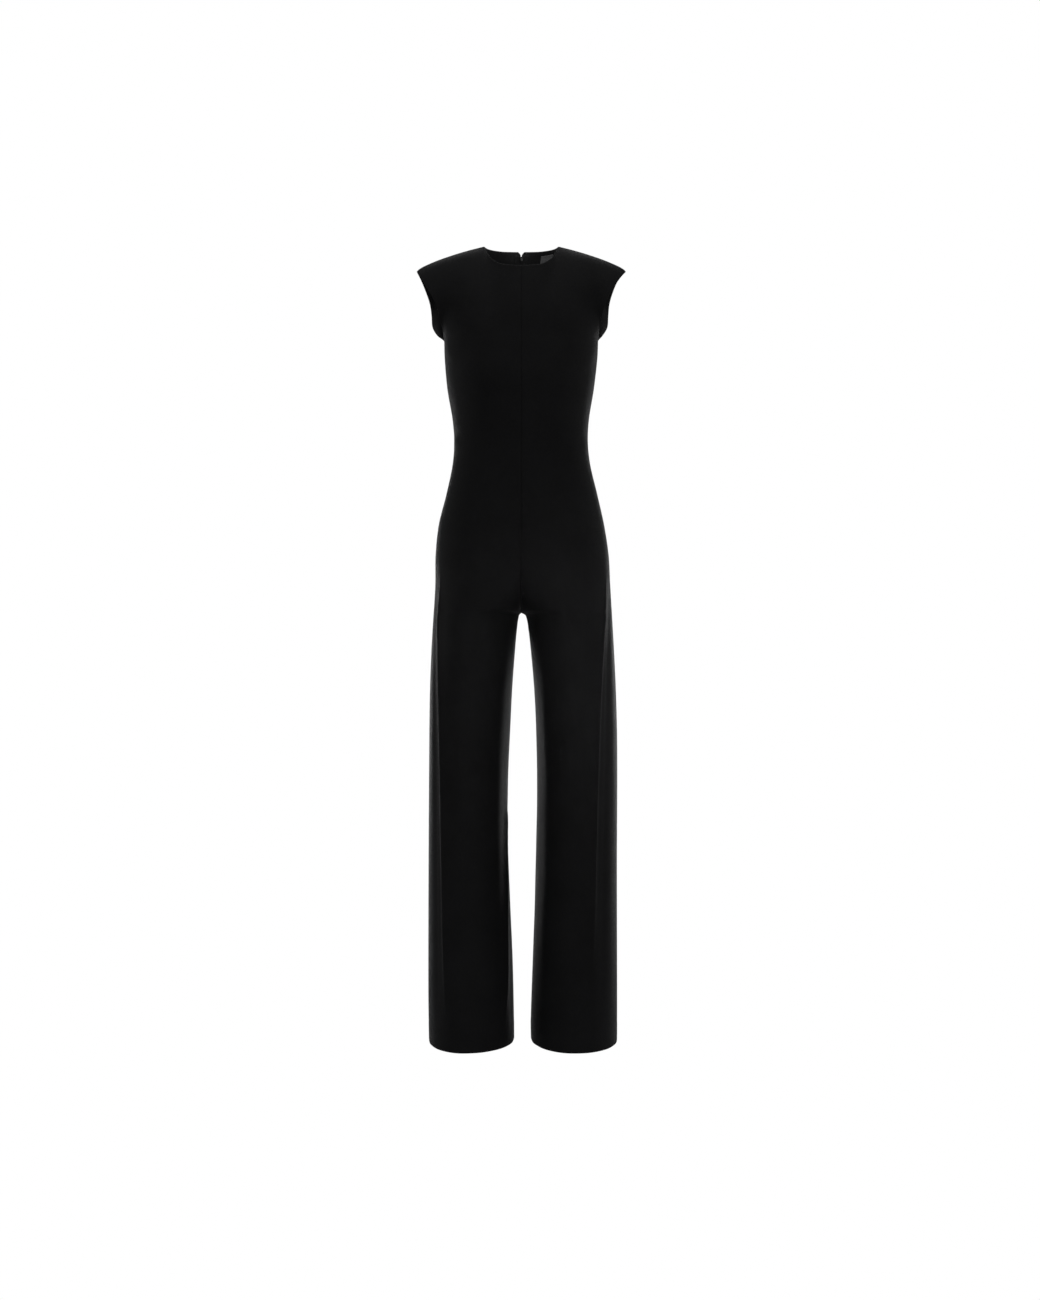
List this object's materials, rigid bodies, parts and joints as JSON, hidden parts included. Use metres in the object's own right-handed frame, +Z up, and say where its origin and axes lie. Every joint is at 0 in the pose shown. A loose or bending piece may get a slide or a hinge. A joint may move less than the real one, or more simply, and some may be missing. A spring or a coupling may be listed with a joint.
{
  "type": "sleeveless wide-leg jumpsuit",
  "caption": "Black sleeveless jumpsuit with wide legs, filled out as worn, hollow, with a concealed back zip and a blank neck label.",
  "frame": {"origin": "midway between the neck ends of the two shoulder seams, where the wearer's shoulders hold the garment", "axes": "+Z up, front faces -Y, +X is the wearer's left"},
  "size_m": [0.3906, 0.2403, 1.4802],
  "materials": {
    "cloth": "matte",
    "zip_tape": "matte",
    "label": "satin",
    "zip_metal": "satin"
  },
  "bodies": {
    "garment": {"front_left": "cloth", "front_right": "cloth", "back_left": "cloth", "back_right": "cloth", "zip_tape_left": "zip_tape", "zip_tape_right": "zip_tape", "zip_slider": "zip_metal", "neck_label": "label"},
    "pull_tab": {"zip_pull": "zip_metal"}
  },
  "joints": [
    {"name": "pull_tab_swing", "type": "hinge", "parent": "garment", "child": "pull_tab", "pos_m": [0, 0.06961, -0.00536], "axis": [1, 0, 0], "range_deg": [0, 150]}
  ]
}
